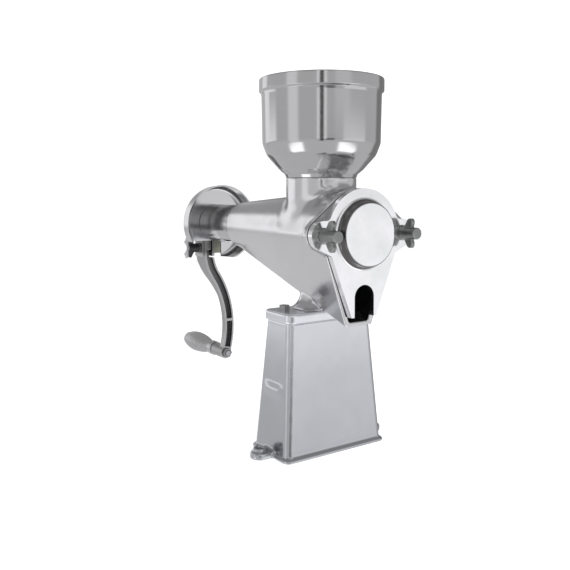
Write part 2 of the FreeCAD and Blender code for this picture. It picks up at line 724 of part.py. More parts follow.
def make_screw():
    body = new_body("screw", z="axis_tall")
    core = [
        ("screw_front", "0"),
        ("screw_end", "0"),
        ("screw_end", "core_end_round - 4"),
        ("screw_end - 4", "core_end_round", "4"),
        ("screw_front + collar_thick", "core_front_round"),
        ("screw_front + collar_thick", "collar_round"),
        ("screw_front", "collar_round"),
    ]
    turn(body, "core", core)
    spare = "(flight_root_thick - flight_edge_thick) / 2"
    rib = [
        ("flight_end", "flight_root"),
        (f"flight_end - {spare}", "flight_end_round"),
        (f"flight_end - flight_root_thick + {spare}", "flight_end_round"),
        ("flight_end - flight_root_thick", "flight_root"),
    ]
    profile = new_sketch(body, "flight_section", "YZ", "0", rib)

    def setup(item):
        """The flight grows from the rear end towards the front, in step with the barrel's bore."""
        item.Profile = profile
        item.ReferenceAxis = (profile, ["H_Axis"])
        item.Mode = 0
        item.Reversed = True
        item.setExpression("Pitch", bound("flight_pitch"))
        item.setExpression("Height", bound("flight_long"))
        item.setExpression("Angle", bound(f"atan({BORE_SLOPE})"))

    feature(body, "AdditiveHelix", "flight", False, setup)
    bore = [
        ("screw_front", "0"),
        ("screw_end", "0"),
        ("screw_end", "core_end_round - core_wall"),
        ("hub_end", "core_front_round - core_wall"),
        ("hub_end", "shaft_round + seat_gap"),
        ("screw_front", "shaft_round + seat_gap"),
    ]
    turn(body, "bore", bore, cut=True)
    hole = ("0", "pin_back", "pin_round + seat_gap")
    pad(body, "pin_hole", "XY", "-core_front_round - 1", "2 * core_front_round + 2", hole, cut=True)


def make_shaft():
    body = new_body("drive_shaft", z="axis_tall")
    front, end = "cover_front - boss_proud + 5", "crank_front + hub_deep + 1"
    shaft = [
        (front, "0"),
        (end, "0"),
        (end, "shaft_round - 1"),
        (f"{end} - 1", "shaft_round"),
        (f"{front} + 1", "shaft_round"),
        (front, "shaft_round - 1"),
    ]
    turn(body, "rod", shaft)
    hole = ("0", "pin_back", "pin_round + seat_gap")
    pad(body, "pin_hole", "XY", "-shaft_round", "2 * shaft_round", hole, cut=True)
    pin = cylinder("screw_pin", "pin_round", "2 * core_front_round - 2")
    place(pin, "0", "pin_back", "axis_tall - core_front_round + 1")
    PARTS.append(pin)


def make_bearings():
    running = "shaft_round + running_gap"
    bush = f"{running} + bush_wall"
    ring("front_bush", "cover_front - boss_proud + 4.5", "boss_proud + cover_thick - 4.5", bush, running)
    back = "cover_front + cover_thick + part_gap"
    ring("thrust_washer", back, f"screw_front - ({back})", "thrust_round", running)
    rear = "web_front + seal_thick + 1"
    ring("rear_bush", rear, f"dish_back - dish_wall - ({rear})", bush, running)
    ring("shaft_seal", "web_front", "seal_thick", "seal_round", running)
    seat = "shaft_round + seat_gap"
    ring("shaft_collar", "dish_back + 2", "shaft_collar_long", "shaft_collar_round", seat)


# ---------------------------------------------------------------- studs and wing nuts


def make_studs():
    studs, washers = [], []
    front = "cover_front - stud_proud"
    long = "stud_proud + cover_thick + gasket_thick + flange_thick"
    washer_front = "cover_front - washer_thick"
    for index, sign in enumerate(("-1", "1")):
        stud = cylinder(f"cover_stud_{index}", "bolt_round", long)
        outer = cylinder(f"stud_washer_{index}_disc", "washer_round", "washer_thick")
        inner = cylinder(f"stud_washer_{index}_hole", "bolt_hole", "washer_thick")
        washer = united("Cut", f"stud_washer_{index}", outer, inner)
        for item, y in ((stud, front), (outer, washer_front), (inner, washer_front)):
            item.Placement.Rotation = FreeCAD.Rotation(FreeCAD.Vector(1, 0, 0), -90)
            place(item, f"{sign} * stud_apart", y, "axis_tall")
        studs.append(stud)
        washers.append(washer)
    group("cover_studs", studs)
    group("stud_washers", washers)


def wing_outline():
    """One lobe of a wing nut on the plane through its axis: along the axis, and out from it."""
    return [
        ("-4", "0"),
        ("-4", "8"),
        ("-9", "16"),
        ("-16", "18.5", "6"),
        ("-18", "11", "6"),
        ("-15", "0"),
    ]


def make_wing_nuts():
    """Two lobes above and below a hub with a flat end. The hub's foot is at the washer."""
    for side, sign in (("left", "-1"), ("right", "1")):
        foot = "cover_front - washer_thick - part_gap"
        body = new_body(f"wing_nut_{side}", f"{sign} * stud_apart", foot, "axis_tall")
        hub = [("-26", "0"), ("0", "0"), ("0", "9.5"), ("-14", "7.5"), ("-24.5", "7.5"), ("-26", "6", "1.5")]
        turn(body, "hub", hub)
        upper = wing_outline()
        lower = [(x, f"-({y})", *rest) for x, y, *rest in upper]
        for name, outline in (("upper", upper), ("lower", mirrored(lower))):
            pad(body, f"{name}_wing", "YZ", "-nut_wing_thick / 2", "nut_wing_thick", outline)
        bore = rectangle("-stud_proud - 0.5", "0", "0", "bolt_round + running_gap")
        turn(body, "bore", bore, cut=True)


def mirrored(outline):
    """The outline run the other way round. Each arc's radius goes with the corner that it now runs to."""
    corners = [step[:2] for step in outline]
    radii = [step[2:] for step in outline]
    return [corners[-1 - index] + radii[-index % len(radii)] for index in range(len(outline))]


# ---------------------------------------------------------------- hopper


def make_hopper():
    body = new_body("hopper", y="hopper_back")
    wall = "hopper_wall"
    outline = [
        ("spigot_round", "spigot_low"),
        ("spigot_round", "socket_top + part_gap"),
        ("socket_round", "socket_top + part_gap"),
        ("socket_round + 1.5", "socket_top + 4.5"),
        ("cone_low_round", "cone_low", "-12"),
        ("cone_round", "cone_top"),
        ("bowl_low_round", "bowl_low", "24"),
        ("bowl_top_round", "hopper_top - rim_tall - 3"),
        ("rim_round", "hopper_top - rim_tall"),
        ("rim_round", "hopper_top - 1.5"),
        ("rim_round - 1.5", "hopper_top", "1.5"),
        (f"rim_round - {wall}", "hopper_top"),
        (f"bowl_top_round - {wall}", "hopper_top - rim_tall - 3"),
        (f"bowl_low_round - {wall}", "bowl_low"),
        (f"cone_round - {wall}", "cone_top + 1.5", "-(24 - hopper_wall)"),
        (f"cone_low_round - {wall}", "cone_low + 2"),
        (f"spigot_round - {wall}", "socket_top + 1", "14"),
        (f"spigot_round - {wall}", "spigot_low"),
    ]
    turn(body, "bowl", outline, plane="XZ")


# ---------------------------------------------------------------- rear neck and guard dish


def make_outlet_neck():
    body = new_body("outlet_neck", z="axis_tall")
    end = "dish_back - dish_wall"
    tube = [
        ("neck_front", "neck_bore"),
        ("web_front - 6", "neck_bore"),
        ("web_front", "neck_bore - 6"),
        ("web_front", "seal_round + seat_gap"),
        ("web_front + seal_thick", "seal_round + seat_gap"),
        ("web_front + seal_thick", "shaft_round + running_gap + bush_wall + seat_gap"),
        (end, "shaft_round + running_gap + bush_wall + seat_gap"),
        (end, "neck_round - 1"),
        (f"{end} - 1", "neck_round"),
        ("neck_front", "neck_round"),
    ]
    turn(body, "tube", tube)
    window = rectangle("-window_half", "window_front", "window_half", "window_front + window_long")
    pad(body, "window", "XY", "-neck_round - 1", "neck_round", window, cut=True)
    deep = "dish_screw_grip + 1"
    pad(body, "screw_holes", "XZ", f"{end} - ({deep})", deep, *dish_screw_spots(), cut=True)


def dish_screw_spots():
    """Three screws, one of them at the top."""
    radius = "dish_screw_round + seat_gap"
    return [
        (f"dish_screw_ring * cos({angle})", f"dish_screw_ring * sin({angle})", radius)
        for angle in (90, 210, 330)
    ]


def make_guard_dish():
    """Round pan, open to the front, with a flat lower edge and a notch where the pulp falls."""
    body = new_body("guard_dish", z="axis_tall")
    front = "dish_back - dish_deep"
    pan = [
        ("dish_back - dish_wall", "0"),
        ("dish_back", "0"),
        ("dish_back", "dish_round - 8"),
        ("dish_back - 8", "dish_round", "8"),
        (front, "dish_round + 1.5"),
        (front, "dish_round + 1.5 - dish_wall"),
        ("dish_back - 8", "dish_round - dish_wall"),
        ("dish_back - dish_wall", "dish_round - 8", "-5.5"),
    ]
    turn(body, "pan", pan)
    reach = "-dish_round - 5"
    low = rectangle(reach, reach, f"-({reach})", "dish_cut_low")
    pad(body, "flat_edge", "XZ", f"{front} - 1", "dish_deep + 2", low, cut=True)
    notch = rectangle(reach, reach, "dish_notch_across", "dish_notch_low")
    pad(body, "notch", "XZ", f"{front} - 1", "dish_deep + 2", notch, cut=True)
    holes = [("0", "0", "shaft_round + 1.5"), *dish_screw_spots()]
    pad(body, "holes", "XZ", "dish_back - dish_wall", "dish_wall", *holes, cut=True)


def make_dish_screws():
    screws = []
    for index, (x, z, _) in enumerate(dish_screw_spots()):
        long = "dish_screw_grip + dish_wall + 1"
        shank = cylinder(f"dish_screw_{index}_shank", "dish_screw_round", long)
        head = cylinder(f"dish_screw_{index}_head", "dish_head_round", "dish_head_tall")
        for item, y in ((shank, "dish_back - dish_wall - dish_screw_grip"), (head, "dish_back")):
            item.Placement.Rotation = FreeCAD.Rotation(FreeCAD.Vector(1, 0, 0), -90)
            place(item, x, y, f"axis_tall + {z}")
        screws.append(united("Fuse", f"dish_screw_{index}", shank, head))
    group("dish_screws", screws)


# ---------------------------------------------------------------- crank


def arm_path(across):
    """The two bends of the arm, at a distance to the right of its middle line: where the upper bend starts,
    where the bends meet, and where the lower bend ends."""
    meet_x = "arm_upper_bend * (1 - cos(arm_lean))"
    meet_z = "-arm_straight - arm_upper_bend * sin(arm_lean)"
    end_x = f"{meet_x} + arm_lower_bend * (cos(arm_end_lean) - cos(arm_lean))"
    end_z = f"{meet_z} - arm_lower_bend * (sin(arm_lean) + sin(arm_end_lean))"
    return [
        (across, "-arm_straight"),
        (f"{meet_x} + ({across}) * cos(arm_lean)", f"{meet_z} + ({across}) * sin(arm_lean)"),
        (f"{end_x} + ({across}) * cos(arm_end_lean)", f"{end_z} - ({across}) * sin(arm_end_lean)"),
    ]


ARM_END_X, ARM_END_Z = arm_path("0")[2]


def arm_outline(half, top):
    """The arm's outline, counterclockwise from its upper left, down one side and up the other."""
    left, right = arm_path(f"-({half})"), arm_path(half)
    return [
        (f"-({half})", top),
        left[0],
        (*left[1], f"arm_upper_bend + {half}"),
        (*left[2], f"-(arm_lower_bend - {half})"),
        right[2],
        (*right[1], f"arm_lower_bend + {half}"),
        (*right[0], f"-(arm_upper_bend - {half})"),
        (half, top),
    ]


def make_crank_arm():
    body = new_body("crank_arm", z="axis_tall")
    pad(body, "hub", "XZ", "crank_front", "hub_deep", ("0", "0", "hub_round"))
    pad(body, "arm", "XZ", "crank_front", "hub_deep", arm_outline("arm_half", "0"))
    low = f"{ARM_END_Z} - 2 * grip_boss_round"
    back = [
        ("crank_front + arm_thick", low),
        ("crank_front + hub_deep + 1", low),
        ("crank_front + hub_deep + 1", "ear_low - 6"),
        ("crank_front + arm_thick", "ear_low - 70"),
    ]
    pad(body, "lower_back", "YZ", "-2 * hub_round", f"{ARM_END_X} + 4 * hub_round", back, cut=True)
    ears = rectangle("-ear_half", "ear_low", "ear_half", "-8")
    pad(body, "ears", "XZ", "crank_front + 4", "hub_deep - 8", ears)
    boss = (ARM_END_X, ARM_END_Z, "grip_boss_round")
    pad(body, "grip_boss", "XZ", "crank_front", "grip_boss_deep", boss)
    depth = "hub_deep + 4"
    bore = ("0", "0", "shaft_round + seat_gap")
    pad(body, "shaft_bore", "XZ", "crank_front - 1", depth, bore, cut=True)
    split = rectangle("split_across", "ear_low - 2", "split_across + split_wide", "-5")
    pad(body, "split", "XZ", "crank_front - 1", depth, split, cut=True)
    release = rectangle("split_across", "ear_low - 2", "20", "ear_low + 0.5")
    pad(body, "release", "XZ", "crank_front - 1", depth, release, cut=True)
    bolt_hole = ("crank_front + hub_deep / 2", "clamp_low", "bolt_round + running_gap")
    pad(body, "clamp_hole", "YZ", "-20", "40", bolt_hole, cut=True)
    make_channels(body)


def make_channels(body):
    """A recess along the front of the arm, with a cross rib left standing below its middle."""
    channel = arm_outline("channel_half", "2 - arm_straight")
    pad(body, "channel", "XZ", "crank_front - 1", "channel_deep + 1", channel, cut=True)
    low, high = "cross_rib_low", "cross_rib_low + cross_rib_tall"
    rib = rectangle("cross_rib_across - cross_rib_half", low, "cross_rib_across + cross_rib_half", high)
    pad(body, "cross_rib", "XZ", "crank_front", "channel_deep + 1", rib)
    boss = (ARM_END_X, ARM_END_Z, "grip_boss_round")
    pad(body, "boss_front", "XZ", "crank_front", "channel_deep + 1", boss)
    spindle_hole = (ARM_END_X, ARM_END_Z, "spindle_round + seat_gap")
    pad(body, "spindle_hole", "XZ", "crank_front - 1", "grip_boss_deep + 2", spindle_hole, cut=True)


def make_clamp():
    """Wing bolt along X through the hub's ears, a washer under it, and a threaded block with a lock nut."""
    middle = "crank_front + hub_deep / 2"
    height = "axis_tall + clamp_low"
    body = new_body("clamp_bolt", y=middle, z=height)
    seat = "-(ear_half + clamp_washer_thick + part_gap)"
    tip = "ear_half + clamp_block_long + 12"
    head = [
        (tip, "0"),
        (tip, "bolt_round - 0.8"),
        (f"{tip} - 0.8", "bolt_round"),
        (seat, "bolt_round"),
        (seat, "8"),
        (f"{seat} - 16", "6.5"),
        (f"{seat} - 19", "4", "6"),
        (f"{seat} - 19", "0"),
    ]
    profile = new_sketch(body, "head_outline", "XZ", "0", head)

    def setup(item):
        item.Profile = profile
        item.ReferenceAxis = (profile, ["H_Axis"])
        item.Angle = 360

    feature(body, "Revolution", "head", False, setup)
    wing = [(f"{seat} {x}", y, *rest) for x, y, *rest in WING_BOLT_LOBE]
    pad(body, "lobe_upper", "XZ", "-clamp_wing_thick / 2", "clamp_wing_thick", mirrored(wing))
    lower = [(x, f"-({y})", *rest) for x, y, *rest in wing]
    pad(body, "lobe_lower", "XZ", "-clamp_wing_thick / 2", "clamp_wing_thick", lower)
    make_clamp_rings(middle, height)


WING_BOLT_LOBE = [
    ("- 18", "0"),
    ("- 25", "11"),
    ("- 23", "19", "-6"),
    ("- 13", "17", "-7"),
    ("- 7", "6"),
    ("- 7", "0"),
]


def make_clamp_rings(middle, height):
    """Square washer, square block and hexagon lock nut on the wing bolt."""
    side = "clamp_block_side"
    inner = "bolt_round + running_gap"
    square = rectangle(f"{middle} - {side} / 2", f"-{side} / 2", f"{middle} + {side} / 2", f"{side} / 2")
    hole = (middle, "0", inner)
    block = new_body("clamp_block", "ear_half", z=height)
    pad(block, "block", "YZ", "0", "clamp_block_long", square, hole)
    washer = new_body("clamp_washer", "-ear_half - clamp_washer_thick", z=height)
    pad(washer, "disc", "YZ", "0", "clamp_washer_thick", (middle, "0", "9"), hole)
    nut = hexagon("clamp_lock_nut_hexagon", "head_round", "nut_tall")
    bore = cylinder("clamp_lock_nut_bore", inner, "nut_tall")
    for item in (nut, bore):
        item.Placement.Rotation = FreeCAD.Rotation(FreeCAD.Vector(0, 1, 0), 90)
        place(item, "ear_half + clamp_block_long", middle, height)
    lock_nut = united("Cut", "clamp_lock_nut", nut, bore)
    PARTS.append(lock_nut)


def make_grip():
    """Pear-shaped grip that turns on a headed spindle, a collar before it and a nut on the arm's front."""
    x, z = ARM_END_X, f"axis_tall + {ARM_END_Z}"
    collar_front = "crank_front + grip_boss_deep"
    seat = "spindle_round + seat_gap"
    ring("grip_collar", collar_front, "grip_collar_thick", "grip_collar_round", seat, x, z)
    grip_front = f"{collar_front} + grip_collar_thick + part_gap"
    grip = new_body("crank_grip", x, grip_front, z)
    bore = "spindle_round + running_gap"
    outline = [
        ("0", bore),
        ("grip_long - grip_recess", bore),
        ("grip_long - grip_recess", "spindle_head_round + part_gap"),
        ("grip_long", "spindle_head_round + part_gap"),
        ("grip_long - 11", "grip_round - 4.5", "15"),
        ("grip_long - 41", "grip_round", "102"),
        ("20", "grip_neck_round + 2.5", "180"),
        ("0", "grip_neck_round", "-50"),
    ]
    turn(grip, "pear", outline)
    spindle = new_body("grip_spindle", x, "crank_front - spindle_tip", z)
    head = "spindle_tip + grip_boss_deep + grip_collar_thick + 2 * part_gap + grip_long - grip_recess"
    head_end = f"{head} + spindle_head_long"
    rod = [
        ("0", "0"),
        (head_end, "0"),
        (head_end, "spindle_head_round - 1.5"),
        (f"{head_end} - 1.5", "spindle_head_round", "1.5"),
        (head, "spindle_head_round"),
        (head, "spindle_round"),
        ("1", "spindle_round"),
        ("0", "spindle_round - 1"),
    ]
    turn(spindle, "rod", rod)
    nut = hexagon("spindle_nut_hexagon", "spindle_nut_round", "nut_tall")
    hole = cylinder("spindle_nut_bore", "spindle_round + seat_gap", "nut_tall")
    for item in (nut, hole):
        item.Placement.Rotation = FreeCAD.Rotation(FreeCAD.Vector(1, 0, 0), -90)
        place(item, x, "crank_front - nut_tall", z)
    PARTS.append(united("Cut", "spindle_nut", nut, hole))


# ---------------------------------------------------------------- run


def main():
    make_stand()
    make_cap()
    make_cap_fasteners()
    make_front_plate()
    make_gasket()
    make_press_body()
    make_strainer()
    make_screw()
    make_shaft()
    make_bearings()
    make_studs()
    make_wing_nuts()
    make_hopper()
    make_outlet_neck()
    make_guard_dish()
    make_dish_screws()
    make_crank_arm()
    make_clamp()
    make_grip()


main()
doc.recompute()
for item in doc.Objects:
    assert "Invalid" not in item.State and "Error" not in item.State, f"{item.Name} failed: {item.State}"
os.makedirs("parts", exist_ok=True)
for part in PARTS:
    assert not part.Shape.isNull() and part.Shape.isValid(), f"{part.Label} has no valid shape"
    part.Shape.exportStep(f"parts/{part.Label}.step")
    print(part.Label, len(part.Shape.Solids), round(part.Shape.Volume / 1000, 1), "cm3")
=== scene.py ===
# Looks of a hand-cranked screw juice press: polished castings, spun hopper, polished cover, cast wing nuts.
# Every length is in metres, in the frame of the CAD model. +Z is up and the cover faces -Y.

import json
import math

import bpy
import numpy as np
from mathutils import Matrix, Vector

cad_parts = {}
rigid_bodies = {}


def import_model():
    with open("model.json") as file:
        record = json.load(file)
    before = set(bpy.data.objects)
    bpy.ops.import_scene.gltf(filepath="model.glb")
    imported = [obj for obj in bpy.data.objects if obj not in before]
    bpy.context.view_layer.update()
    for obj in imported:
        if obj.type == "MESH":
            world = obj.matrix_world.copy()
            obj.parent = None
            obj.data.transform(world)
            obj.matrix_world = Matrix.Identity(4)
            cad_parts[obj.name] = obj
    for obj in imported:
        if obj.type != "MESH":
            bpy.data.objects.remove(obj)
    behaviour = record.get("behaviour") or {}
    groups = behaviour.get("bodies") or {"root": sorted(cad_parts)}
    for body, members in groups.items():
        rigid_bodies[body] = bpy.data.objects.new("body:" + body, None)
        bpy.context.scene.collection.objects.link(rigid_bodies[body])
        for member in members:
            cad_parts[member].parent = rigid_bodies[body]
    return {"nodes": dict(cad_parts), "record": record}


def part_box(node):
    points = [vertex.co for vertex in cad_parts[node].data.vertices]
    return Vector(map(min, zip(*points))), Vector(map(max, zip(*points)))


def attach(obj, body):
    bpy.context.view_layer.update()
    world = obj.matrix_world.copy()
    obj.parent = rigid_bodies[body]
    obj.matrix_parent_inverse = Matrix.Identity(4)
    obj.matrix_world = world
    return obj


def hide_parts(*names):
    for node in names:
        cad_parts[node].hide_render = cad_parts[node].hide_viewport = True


for leftover in list(bpy.data.objects):
    bpy.data.objects.remove(leftover)
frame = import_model()
NODES = frame["nodes"]
SCENE = bpy.context.scene
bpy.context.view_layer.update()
MM = 0.001
BODY_OF = {node: body for body, nodes in frame["record"]["behaviour"]["bodies"].items() for node in nodes}
SLOT_OF = {part["node"]: part["material_slot"] for part in frame["record"]["subparts"]}


def middle(node):
    low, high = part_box(node)
    return (low + high) / 2


AXIS = middle("drive_shaft").z
HOPPER_Y = middle("hopper").y


# ---------------------------------------------------------------- materials


class NodeTree:
    """A node tree, with one call for each node."""

    def __init__(self, tree):
        self.tree = tree

    def add(self, kind, settings=None, **inputs):
        """A node. Its inputs are given by name, with _ for a space."""
        item = self.tree.nodes.new("ShaderNode" + kind)
        for name, value in (settings or {}).items():
            setattr(item, name, value)
        for name, value in inputs.items():
            self.feed(item, name.replace("_", " "), value)
        return item

    def feed(self, item, name, value):
        """Gives an input, found by its name or number, a number, a colour or another node's output."""
        socket = item.inputs[name]
        if isinstance(value, bpy.types.NodeSocket):
            self.tree.links.new(value, socket)
        elif socket.type == "RGBA":
            socket.default_value = (*value, 1)
        else:
            socket.default_value = value

    def maths(self, operation, first, second=0.0):
        item = self.add("Math", {"operation": operation})
        self.feed(item, 0, first)
        self.feed(item, 1, second)
        return item.outputs["Value"]

    def spread(self, value, low, high, first=0.3, last=0.7, kind="LINEAR"):
        """The value, with its range from first to last laid over low to high and held at both ends."""
        ends = {"From_Min": first, "From_Max": last, "To_Min": low, "To_Max": high}
        return self.add("MapRange", {"interpolation_type": kind}, Value=value, **ends).outputs["Result"]

    def mix(self, share, first, second, kind="RGBA", blend="MIX"):
        """The first where the share is 0, turning into the second where it is 1."""
        settings = {"data_type": kind, "blend_type": blend}
        return self.add("Mix", settings, Factor=share, A=first, B=second).outputs["Result"]

    def split(self, vector):
        """The vector's three parts."""
        item = self.add("SeparateXYZ", Vector=vector)
        return tuple(item.outputs[name] for name in "XYZ")

    def window(self, value, start, end, soft):
        """1 where the value is between start and end, falling to 0 within soft outside them."""
        rising = self.spread(value, 0.0, 1.0, start - soft, start, "SMOOTHSTEP")
        falling = self.spread(value, 1.0, 0.0, end, end + soft, "SMOOTHSTEP")
        return self.maths("MULTIPLY", rising, falling)


class Shader(NodeTree):
    """A material. x, y and z are a point's place in the CAD frame, and place and normal are vectors."""

    def __init__(self, name):
        self.material = bpy.data.materials.new(name)
        self.material.use_nodes = True
        super().__init__(self.material.node_tree)
        self.surface = self.tree.nodes["Principled BSDF"]
        where = self.add("TexCoord")
        self.place, self.normal = where.outputs["Object"], where.outputs["Normal"]
        self.x, self.y, self.z = self.split(self.place)

    def noise(self, scale, detail, stretch=(1, 1, 1)):
        """Noise from 0 to 1, with about scale spots to a metre along each axis times its stretch."""
        where = self.add("Mapping", Vector=self.place, Scale=stretch).outputs["Vector"]
        return self.add("TexNoise", Vector=where, Scale=scale, Detail=detail).outputs["Fac"]

    def times(self, colour, factor):
        """A node's colour, made darker or brighter by another node's number."""
        return self.mix(1.0, colour, factor, blend="MULTIPLY")

    def look(self, **inputs):
        """Gives the surface its inputs by name, with _ for a space."""
        for name, value in inputs.items():
            self.feed(self.surface, name.replace("_", " "), value)

    def bump(self, *layers):
        """Layers of (height from 0 to 1, depth in metres), the deepest first."""
        normal = None
        for height, depth in layers:
            item = self.add("Bump", Height=height, Distance=depth, Strength=1.0)
            if normal:
                self.feed(item, "Normal", normal)
            normal = item.outputs["Normal"]
        self.look(Normal=normal)

    def pointiness(self):
        """0.5 on flat stretches of a finely divided mesh, more on its outer edges and less in its hollows."""
        return self.add("NewGeometry").outputs["Pointiness"]


# How deep the faint waves in polished castings and plates are.
WAVE_DEPTH = 0.2 * MM


def scaled(colour, factor):
    return tuple(channel * factor for channel in colour)


def cast_metal(name, colour, smooth, rough, grain=0.006 * MM, edge_gain=1.1, zones=None):
    """Cast metal that was ground and polished by hand: faint waves, fine grain, brighter edges, and hollows
    darkened by painted shade.

    zones, given the shader, makes the factor by which some stretches are darker or brighter."""
    shade = Shader(name)
    patches = shade.spread(shade.noise(14, 3.0), 0.0, 1.0)
    base = shade.mix(patches, scaled(colour, 0.95), colour)
    outer = shade.spread(shade.pointiness(), 0.0, 1.0, 0.5, 0.56)
    # Painted shade: the colour is darkened in the mesh's hollows.
    hollow_shade = shade.spread(shade.pointiness(), 0.72, 1.0, 0.42, 0.49)
    tone_and_painted_light = shade.times(shade.mix(outer, base, scaled(colour, edge_gain)), hollow_shade)
    # The zones paint light and shade: they make stretches of the casting darker or brighter.
    if zones:
        tone_and_painted_light = shade.times(tone_and_painted_light, zones(shade))
    dullness = shade.spread(shade.noise(45, 4.0), smooth, rough)
    shade.look(Base_Color=tone_and_painted_light, Metallic=1.0, Roughness=dullness)
    shade.bump((shade.noise(16, 1.0), WAVE_DEPTH), (shade.noise(900, 3.0), grain))
    return shade.material


def pedestal_painted_light(shade):
    """Painted light: darker at the foot and lighter towards the top of the pedestal, with a painted highlight
    that makes the cap brightest.
    """
    cap_half, joint = 7 * MM, 2 * MM
    cap_low = middle("stand_cap").z - cap_half
    painted_light_from = 0.6 * cap_low
    # Painted light: darker at the foot, lighter towards the top.
    rise = shade.spread(shade.z, 0.9, 1.02, 0.0, painted_light_from)
    tone_and_painted_light = shade.spread(shade.z, 0.0, 0.24, painted_light_from, cap_low)
    # Painted highlight on the cap.
    cap = shade.spread(shade.z, 0.0, 0.2, cap_low, cap_low + joint)
    return shade.maths("ADD", shade.maths("ADD", rise, tone_and_painted_light), cap)


def neck_painted_light(shade):
    """The barrel keeps its colour almost to its end. Beyond it the neck is darkened with painted shade, with
    a painted highlight band across it and deeper painted shade at its rear.
    """
    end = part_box("press_body")[1].y
    neck_shade_from, neck_shade_to = end - 14 * MM, end + 6 * MM
    band_from, band_to, band_soft = end + 46 * MM, end + 54 * MM, 7 * MM
    rear_from, rear_to = end + 58 * MM, end + 66 * MM
    # Painted shade on the neck beyond the barrel's end, deeper at the rear.
    neck_shade = shade.spread(shade.y, 1.0, 0.85, neck_shade_from, neck_shade_to, "SMOOTHSTEP")
    rear_shade = shade.spread(shade.y, 0.0, 0.25, rear_from, rear_to, "SMOOTHSTEP")
    # Painted highlight: a lighter band across the neck.
    painted_highlight = shade.window(shade.y, band_from, band_to, band_soft)
    tone_and_painted_light = shade.maths("SUBTRACT", neck_shade, rear_shade)
    return shade.maths("ADD", tone_and_painted_light, shade.maths("MULTIPLY", painted_highlight, 0.25))


def crank_zones(shade):
    """Painted shade on the floor of the crank's channel, deeper towards the clamp block. The hub above the
    clamp block is darker as well.
    """
    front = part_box("crank_arm")[0].y
    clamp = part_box("clamp_block")[0].z
    arm_end = clamp - 110 * MM
    floor_from, floor_to = front + 4.5 * MM, front + 9 * MM
    depth = shade.spread(shade.y, 0.0, 1.0, floor_from, floor_from + 1.5 * MM)
    shallow = shade.spread(shade.y, 1.0, 0.0, floor_to - 1 * MM, floor_to)
    facing = shade.spread(shade.split(shade.normal)[1], 1.0, 0.0, -0.85, -0.45)
    # Painted shade on the channel floor that faces the front.
    floor = shade.maths("MULTIPLY", shade.maths("MULTIPLY", depth, facing), shallow)
    dark = shade.spread(shade.z, 0.86, 0.62, arm_end, clamp)
    channel = shade.maths("MULTIPLY", floor, dark)
    # The hub above the clamp block is darker.
    hub = shade.spread(shade.z, 0.0, 0.5, clamp - 1 * MM, clamp + 3 * MM)
    return shade.maths("SUBTRACT", 1.0, shade.maths("MAXIMUM", channel, hub))


def turned_metal(name, colour, smooth, rough, stretch, depth=0.02 * MM):
    """Turned or brushed metal. Its marks run across the axis with the largest stretch, if there is one."""
    shade = Shader(name)
    marks = shade.noise(60, 4.0, stretch)
    base = shade.mix(marks, scaled(colour, 0.9), scaled(colour, 1.05))
    shade.look(Base_Color=base, Metallic=1.0, Roughness=shade.spread(marks, smooth, rough))
    shade.bump((shade.noise(20, 1.0), depth * 8), (marks, depth))
    return shade.material


def spun_metal(name, colour, smooth, rough):
    """Spun sheet: fine rings about the upright axis, faint waves from the spinning tool."""
    return turned_metal(name, colour, smooth, rough, (0.25, 0.25, 60), depth=0.01 * MM)


def plate_metal(name, colour):
    """Ground and polished plate with faint clouds. The cove round the boss is darkened with painted shade."""
    plate_thick, cove_inner, cove_outer, cove_soft = 8 * MM, 39.6 * MM, 43 * MM, 1.6 * MM
    cove_shade_colour, cloud_tint = (0.16, 0.155, 0.15), (0.86, 0.9, 0.87)
    shade = Shader(name)
    grain = shade.noise(120, 4.0, (9, 1, 0.6))
    clouds = shade.spread(shade.noise(26, 5.0), 0.0, 1.0, 0.4, 0.7)
    polished = shade.mix(clouds, colour, tuple(np.multiply(colour, cloud_tint)))
    up = shade.maths("SUBTRACT", shade.z, AXIS)
    square = shade.maths("ADD", shade.maths("MULTIPLY", shade.x, shade.x), shade.maths("MULTIPLY", up, up))
    away = shade.maths("SQRT", square)
    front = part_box("front_gasket")[0].y - plate_thick
    proud = shade.spread(shade.y, 1.0, 0.0, front - 1.2 * MM, front - 0.2 * MM)
    # Painted shade in the cove round the boss, on the plate's proud front.
    cove_shade = shade.maths("MULTIPLY", shade.window(away, cove_inner, cove_outer, cove_soft), proud)
    base = shade.mix(cove_shade, polished, cove_shade_colour)
    shade.look(Base_Color=base, Metallic=1.0, Roughness=shade.spread(grain, 0.15, 0.2))
    shade.bump((shade.noise(18, 1.0), WAVE_DEPTH), (grain, 0.0025 * MM))
    return shade.material


def moulded(name, colour, roughness, metallic=0.0, grain=0.004 * MM, overlay=None):
    """Painted, moulded or rubber surface with a fine skin.

    overlay, given the shader, gives the share of another colour at each place, and that colour."""
    shade = Shader(name)
    base = shade.mix(shade.noise(40, 4.0), scaled(colour, 0.85), scaled(colour, 1.1))
    dullness = shade.spread(shade.noise(200, 3.0), roughness - 0.05, roughness + 0.08)
    shade.look(Base_Color=base, Metallic=metallic, Roughness=dullness)
    if overlay:
        share, top = overlay(shade)
        shade.look(Base_Color=shade.mix(share, base, top))
    shade.bump((shade.noise(25, 1.0), grain * 6), (shade.noise(1200, 3.0), grain))
    return shade.material


def rubbed_wings(shade):
    """The blackened wing bolt is rubbed bright on the outer faces of its wings."""
    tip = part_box("clamp_bolt")[0].x
    rubbed = shade.spread(shade.x, 1.0, 0.0, tip + 4 * MM, tip + 8 * MM)
    return rubbed, (0.72, 0.72, 0.73)


def bare_gasket(shade):
    """Beside the cover's ears the gasket's bare face is grey, in place of the flange's metal behind it."""
    facing = shade.spread(shade.split(shade.normal)[1], 1.0, 0.0, -0.9, -0.6)
    shade.look(Metallic=shade.maths("MULTIPLY", facing, 0.9))
    return facing, (0.42, 0.42, 0.42)


